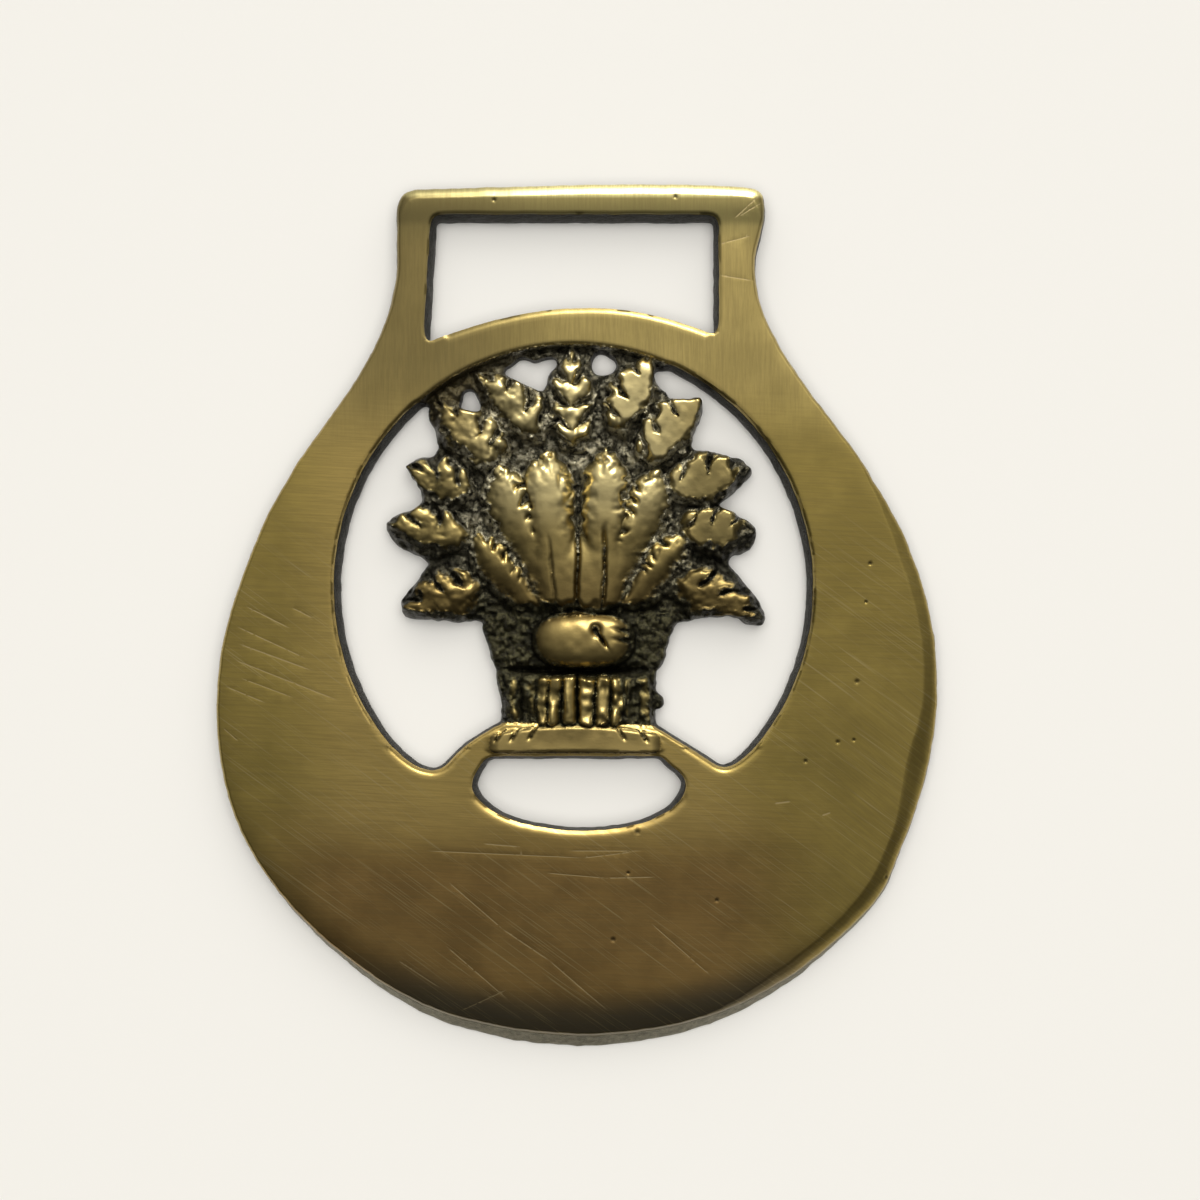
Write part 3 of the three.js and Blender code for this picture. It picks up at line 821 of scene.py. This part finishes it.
def casting():
    """The whole casting as one closed mesh: the face, a wall down from each edge and the flat back."""
    loops = plan_loops()
    middle = (loops[0].min(0) + loops[0].max(0)) / 2
    window = opening(window_edge(), 0.3, 3)
    edges = front_edges(loops, window)
    window = window - outward(window, 4) * softened(wall_lean(outward(window)), 8)
    points = face_points(edges, window)
    front, ends = fill(edges, points)
    plan = np.vstack(edges + [points])
    height, finish = face_surface(plan, edges, window)

    rings = wall_rings(loops, edges, [height[a:b] for a, b in zip(ends[:-1], ends[1:])])
    bands, last = wall_faces(loops, ends, len(plan))

    back_edges = [ring[:, :2] for ring in rings[len(WALL_RINGS) - 1 :: len(WALL_RINGS)]]
    back_points = thinned(triangular_grid(*PLAN_BOX, 1.6, 0.2), back_edges, 0.6)
    back, _ = fill(back_edges, back_points)
    flat = np.column_stack([back_points, np.zeros(len(back_points))])
    corners = np.vstack([np.column_stack([plan, height])] + rings + [flat])
    back_corners = np.concatenate(last + [np.arange(len(corners) - len(flat), len(corners))])
    faces = np.vstack([front] + bands + [back_corners[back][:, ::-1]])

    corners[:, :2] -= middle
    behind = np.zeros(len(corners) - len(plan))
    finish = {key: np.concatenate([values, behind]) for key, values in finish.items()}
    wall = np.concatenate([np.zeros(len(plan)), behind + 1])
    return new_mesh("brass_casting", corners * MM, faces, wall=wall, **finish)


def new_mesh(name, corners, triangles, **attributes):
    """A smooth mesh of the triangles, sharp only where it turns sharply, with no unused corners and with
    each attribute's value at every corner."""
    used, triangles = np.unique(triangles, return_inverse=True)
    triangles = triangles.reshape(-1, 3)
    corners = corners[used]
    attributes = {key: values[used] for key, values in attributes.items()}
    mesh = bpy.data.meshes.new(name)
    mesh.from_pydata(corners, [], triangles, shade_flat=False)
    for key, values in attributes.items():
        mesh.attributes.new(key, "FLOAT", "POINT").data.foreach_set("value", values.astype(np.float32))
    mesh.validate()
    mesh.set_sharp_from_angle(angle=np.radians(SHARP_FROM))
    return in_scene(name, mesh)


def in_scene(name, data):
    """The data as a new object of the scene."""
    made = bpy.data.objects.new(name, data)
    bpy.context.scene.collection.objects.link(made)
    return made


# ---- shader nodes in plain words
def put(kind, sockets=None, tree=None, **settings):
    """A new node with its settings, each socket set to a value or joined to a node's output. With no tree
    given, it goes where the first of those outputs is."""
    sockets = sockets or {}
    tree = tree or [v for v in sockets.values() if isinstance(v, bpy.types.NodeSocket)][0].id_data
    made = tree.nodes.new("ShaderNode" + kind)
    for name, value in settings.items():
        setattr(made, name, value)
    for socket, value in sockets.items():
        if isinstance(value, bpy.types.NodeSocket):
            tree.links.new(value, made.inputs[socket])
        else:
            made.inputs[socket].default_value = value
    return made


def calc(operation, a, b=0.0, clamp=False):
    """One step of arithmetic on two values."""
    return put("Math", {0: a, 1: b}, operation=operation, use_clamp=clamp).outputs[0]


def times(a, b):
    """The product of two values."""
    return calc("MULTIPLY", a, b)


def plus(a, b):
    """The sum of two values."""
    return calc("ADD", a, b)


def spread(value, low, high, to_low=0.0, to_high=1.0):
    """The value carried smoothly from the range low..high to the range to_low..to_high."""
    sockets = {0: value, 1: low, 2: high, 3: to_low, 4: to_high}
    return put("MapRange", sockets, interpolation_type="SMOOTHSTEP").outputs[0]


def mixed(share, a, b):
    """Value a where the share is 0 and b where it is 1."""
    return put("Mix", {0: share, 2: a, 3: b}).outputs[0]


def blend(share, a, b):
    """Colour a where the share is 0 and b where it is 1, each a node's output or three numbers."""
    a, b = (colour if isinstance(colour, bpy.types.NodeSocket) else (*colour, 1) for colour in (a, b))
    return put("Mix", {0: share, 6: a, 7: b}, data_type="RGBA").outputs[2]


def layered(colour, layers):
    """The colour with each layer's colour laid over it in turn, by the layer's share."""
    for share, laid in layers:
        colour = blend(share, colour, laid)
    return colour


def stretched(place, scale, turn=0.0):
    """The place turned about Z by degrees, then scaled."""
    sockets = {0: place, 3: np.radians(turn)}
    turned = put("VectorRotate", sockets, rotation_type="Z_AXIS").outputs[0]
    return put("VectorMath", {0: turned, 1: scale}, operation="MULTIPLY").outputs[0]


def noise(place, scale, detail, rough):
    """Cloudy noise from 0 to 1 at a place in millimetres."""
    return put("TexNoise", {0: place, 2: scale, 3: detail, 4: rough}).outputs[0]


def attribute(tree, name):
    """One of the casting's own values, worked out with its mesh."""
    return put("Attribute", tree=tree, attribute_name=name).outputs["Fac"]


# ---- the brass
# Colours with two values go from a darker to a paler patch.
OLIVE = (0.32, 0.24, 0.064), (0.39, 0.292, 0.078)
BROWN = (0.25, 0.155, 0.052), (0.33, 0.206, 0.068)
# The paler olive for the upper plate is partly its hue and partly a painted sheen, where the plate
# mirrors the bright side.
PALE_SHEEN = (0.40, 0.308, 0.108), (0.48, 0.37, 0.132)
LOW_WALL = (0.16, 0.145, 0.1), (0.27, 0.25, 0.175)
HIGH_WALL = (0.012, 0.011, 0.007)
NECK_GOLD, LOOP_OLIVE, LOOP_SHADE = (0.66, 0.47, 0.16), (0.2, 0.185, 0.075), (0.1, 0.09, 0.035)
# The strap bar's facet colour is partly filed brass and partly a painted highlight; the bottom grey is
# partly painted shade on the rolled-off edge; the upper left brown is painted shade.
BAR_FACET_HIGHLIGHT, BOTTOM_GREY_SHADE, UPPER_LEFT_SHADE = (0.9, 0.8, 0.36), (0.13, 0.125, 0.092), (0.13, 0.1, 0.04)
STREAK, HAIR = (0.16, 0.12, 0.05), (0.55, 0.45, 0.22)
# The paler gold for the top ears is a painted highlight, and the flank colour is partly painted shade.
GOLD, TOP_EAR_HIGHLIGHT, FLANK = (0.52, 0.395, 0.145), (0.74, 0.62, 0.3), (0.10, 0.08, 0.03)
FILED_GOLD, STALK_SHADE = (0.24, 0.19, 0.075), (0.13, 0.09, 0.03)
# The grit runs from painted shade low down to painted light at the top.
SHADED_LOW_GRIT, LIT_TOP_GRIT, OUTER_GRIT = (0.07, 0.064, 0.032), (0.5, 0.46, 0.32), (0.035, 0.032, 0.021)
# The black is partly grime and partly painted shadow.
SOOT, GRIME_AND_SHADOW = (0.02, 0.018, 0.011), (0.012, 0.012, 0.008)
SCRATCHED, PITTED = (0.66, 0.52, 0.27), (0.03, 0.025, 0.015)


def brushing(place, x, y, upper):
    """Fine brushing: along X on the body, along Y under the strap loop and slanted at the lower right."""
    flat = noise(stretched(place, (0.22, 5.5, 0.5), 3), 1.0, 4.0, 0.65)
    upright = noise(stretched(place, (5.0, 0.3, 0.5), 0), 1.0, 4.0, 0.65)
    slanted = noise(stretched(place, (0.3, 5.5, 0.5), 40), 1.0, 4.0, 0.6)
    right = times(spread(x, 20, 30), spread(y, -2, -12))
    return mixed(right, mixed(upper, flat, upright), slanted)


def plate_colour(place, x, y, upper, edge_gap, brush):
    """Olive, pale above, partly as a painted sheen, browner in the lower middle and grey along the
    bottom, partly as painted shade, with brush streaks and hair scratches. The strap bar is shaded below
    and has a bright facet, partly a painted highlight."""
    patch = spread(noise(place, 0.16, 4.0, 0.55), 0.35, 0.65)
    sideways = calc("ABSOLUTE", calc("SUBTRACT", x, -5.0))
    middle = times(spread(y, -15, -27), spread(sideways, 33, 18))
    necks = times(spread(y, -25, -19), spread(sideways, 26, 16, 0.0, 0.5))
    under_bar = times(spread(y, 38.5, 39.5), spread(y, 41.8, 39.8))
    bottom = times(spread(y, -32, -39), spread(edge_gap, 5, 1.2))
    hair = noise(stretched(place, (0.11, 9.0, 0.5), 36), 1.0, 2.0, 0.5)
    hair = times(spread(hair, 0.58, 0.72, 0.0, 0.35), spread(y, 14, 2))
    return layered(blend(patch, *OLIVE), (
        (middle, blend(patch, *BROWN)),
        (necks, NECK_GOLD),
        # Painted sheen: the upper plate is paler, partly in hue.
        (upper, blend(patch, *PALE_SHEEN)),
        (spread(y, 36, 40, 0.0, 0.55), LOOP_OLIVE),
        (times(under_bar, 0.6), LOOP_SHADE),
        # Painted highlight on the strap bar's facet.
        (spread(y, 41.4, 42.0), BAR_FACET_HIGHLIGHT),
        # Darker grey along the bottom edge, partly painted shade where the rolled edge turns away.
        (times(bottom, 0.8), BOTTOM_GREY_SHADE),
        (spread(brush, 0.3, 0.7, 0.0, 0.35), STREAK),
        (hair, HAIR),
    ))


def sheaf_colour(x, y, across, wear_and_shade):
    """Gold where rubbed, palest on the top ears as a painted highlight, dark on the flanks, partly as
    painted shade, and duller on the filed ears at the right, with painted shade on the stalks, the knot
    and the foot."""
    # Painted highlight: the ears towards the top middle are paler.
    high = times(spread(y, 7, 13, 0.0, 0.85), spread(across, 14, 6, 0.15, 1.0))
    gold = blend(spread(wear_and_shade, 0.48, 0.95), FLANK, blend(high, GOLD, TOP_EAR_HIGHLIGHT))
    # Painted shade on the stalks, the foot and the knot.
    stalks = times(spread(y, 8, 2, 0.0, 0.8), spread(y, -3.5, 0.5))
    foot = spread(y, -9, -11, 0.0, 0.4)
    knot = times(spread(y, 1.5, 0.0, 0.0, 0.45), spread(y, -5.6, -5.0))
    shade = calc("MAXIMUM", calc("MAXIMUM", stalks, foot), knot)
    return layered(gold, ((spread(x, 9.5, 13, 0.0, 0.6), FILED_GOLD), (shade, STALK_SHADE)))


def shaded_dirt_colour(y, across, speck, wear_and_shade):
    """Dry grit in the web, palest at the top as painted light and darker low down as painted shade, dark
    at the sides, and black in the deepest hollows and on flanks facing down or outward, partly as painted
    shadow.
    """
    # Painted light and shade: the grit is paler higher up the sheaf.
    shaded_grit = blend(spread(y, 0, 10), SHADED_LOW_GRIT, LIT_TOP_GRIT)
    shaded_grit = blend(spread(across, 8, 14.5, 0.0, 0.8), shaded_grit, OUTER_GRIT)
    shaded_dirt = blend(spread(speck, 0.38, 0.6), SOOT, shaded_grit)
    # Black where the wear value is lowest: grime in the deepest hollows and painted shadow on flanks
    # facing down or outward.
    return blend(spread(wear_and_shade, 0.0, 0.05, 0.6, 0.0), shaded_dirt, GRIME_AND_SHADOW)


def wall_colour(y, speck):
    """The side walls: bare and dull along the bottom of the body and nearly black above it."""
    low = blend(spread(speck, 0.3, 0.7), *LOW_WALL)
    return blend(spread(y, -20, -30), HIGH_WALL, low)


def surface_bump(brush, speck, fine, wear_and_shade, in_sheaf):
    """Shallow brush lines where the metal is rubbed, and coarser grain where it is dull."""
    lines = times(brush, times(wear_and_shade, 0.004))
    coarse = plus(spread(wear_and_shade, 0.25, 0.7, 0.2, 0.0), times(in_sheaf, 0.014))
    relief = plus(lines, times(fine, times(coarse, 0.5)))
    relief = plus(relief, times(speck, plus(coarse, 0.003)))
    return put("Bump", {"Height": relief, "Distance": MM, "Strength": 1.0}).outputs[0]


def brass_material():
    """Old cast brass: satin where rubbed, dark and granular in the hollows, partly as painted shade, dull
    on the side walls.
    """
    material = bpy.data.materials.new("old_brass")
    material.use_nodes = True
    tree = material.node_tree
    tree.nodes.clear()
    metres = put("TexCoord", tree=tree).outputs["Object"]
    sockets = {0: metres, 1: (1 / MM, 1 / MM, 1 / MM)}
    place = put("VectorMath", sockets, operation="MULTIPLY").outputs[0]
    apart = put("SeparateXYZ", {0: place})
    x, y = apart.outputs[0], apart.outputs[1]
    names = ("wear_and_shade", "wall", "edge_gap", "sheaf", "scratch", "pit")
    wear_and_shade, wall, edge_gap, in_sheaf, scratch, pit = (attribute(tree, name) for name in names)
    across, upper = calc("ABSOLUTE", x), spread(y, 14, 26)
    brush = brushing(place, x, y, upper)
    speck = noise(place, 1.6, 5.0, 0.7)
    fine = noise(place, 6.0, 3.0, 0.6)

    # The wear share also carries painted shade on flanks facing down or outward.
    worn = plus(wear_and_shade, times(calc("SUBTRACT", fine, 0.5), 0.4))
    worn = spread(worn, 0.36, 0.58)
    plate = plate_colour(place, x, y, upper, edge_gap, brush)
    rubbed_and_lit = blend(in_sheaf, plate, sheaf_colour(x, y, across, wear_and_shade))
    colour = layered(shaded_dirt_colour(y, across, speck, wear_and_shade), (
        (worn, rubbed_and_lit),
        # Painted shade: the upper plate darkens towards the left, where less light falls.
        (times(upper, spread(x, 0, -14, 0.0, 0.6)), UPPER_LEFT_SHADE),
        (spread(wall, 0.3, 0.7), wall_colour(y, speck)),
        (times(scratch, 0.7), SCRATCHED),
        (times(pit, 0.8), PITTED),
    ))
    rough = plus(spread(worn, 0, 1, 0.26, 0.28), times(brush, 0.14))
    shader = put("BsdfPrincipled", {
        "Base Color": colour,
        "Metallic": spread(worn, 0, 1, 0.9, 0.97),
        "Roughness": calc("ADD", rough, times(wall, 0.15), clamp=True),
        "Normal": surface_bump(brush, speck, fine, wear_and_shade, in_sheaf),
    })
    put("OutputMaterial", {0: shader.outputs[0]})
    return material


# ---- floor, lights and camera
FLOOR_HALF = 6.0
PALE_BOARD = (0.86, 0.84, 0.79)
BRIGHT_SIDE = (0.08, 0.75, 0.62)


def add_floor():
    """A square pale board under the casting, wide enough to fill every view."""
    corners = FLOOR_HALF * np.array([(-1, -1, 0), (1, -1, 0), (1, 1, 0), (-1, 1, 0)])
    floor = new_mesh("floor", corners, np.array([(0, 1, 2), (0, 2, 3)]))
    material = bpy.data.materials.new("pale_board")
    material.use_nodes = True
    board = material.node_tree.nodes["Principled BSDF"].inputs
    board["Base Color"].default_value = (*PALE_BOARD, 1)
    board["Roughness"].default_value = 0.9
    floor.data.materials.append(material)


def add_softbox(name, place, size, watts, colour, mirrored):
    """A round softbox aimed at the plate, only mirrored in the brass or only lighting the floor."""
    light = bpy.data.lights.new(name, "AREA")
    light.shape = "DISK"
    light.size = size
    light.energy = watts
    light.color = colour
    lamp = in_scene(name, light)
    lamp.location = place
    lamp.rotation_euler = (-Vector(place)).to_track_quat("-Z", "Y").to_euler()
    lamp.visible_glossy = mirrored
    lamp.visible_diffuse = not mirrored


def light_studio():
    """Two softboxes in a soft surround. The surround grows as 36 to the power of the cosine to the bright
    side, past the strap loop, and is pale at and below the horizon."""
    world = bpy.data.worlds.new("studio")
    world.use_nodes = True
    tree = world.node_tree
    way = put("TexCoord", tree=tree).outputs["Generated"]
    facing = put("VectorMath", {0: way, 1: BRIGHT_SIDE}, operation="DOT_PRODUCT")
    sockets = {0: calc("POWER", 36.0, facing.outputs[1]), 1: 0.049, 2: 0.03}
    strength = put("Math", sockets, operation="MULTIPLY_ADD").outputs[0]
    level = put("SeparateXYZ", {0: way}).outputs[2]
    strength = calc("MAXIMUM", strength, spread(level, 0.12, 0.0, 0.0, 0.8))
    background = tree.nodes["Background"]
    background.inputs[0].default_value = (1.0, 0.985, 0.955, 1)
    tree.links.new(strength, background.inputs[1])
    bpy.context.scene.world = world
    add_softbox("key", (0.10, 0.42, 0.34), 0.22, 2.5, (1.0, 0.98, 0.94), True)
    add_softbox("overhead", (0.0, 0.0, 0.7), 0.8, 3.7, (1.0, 0.995, 0.985), False)


def add_camera():
    """Straight above the plate, framing a square of about 120 mm."""
    data = bpy.data.cameras.new("camera")
    data.lens, data.sensor_width = 60, 36
    camera = in_scene("camera", data)
    camera.location = (0.00227, 0.00162, 0.2016)
    bpy.context.scene.camera = camera


piece = casting()
piece.data.materials.append(brass_material())
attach(piece, "root")
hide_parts(NODE)
add_floor()
light_studio()
add_camera()
bpy.context.scene.view_settings.view_transform = "Standard"
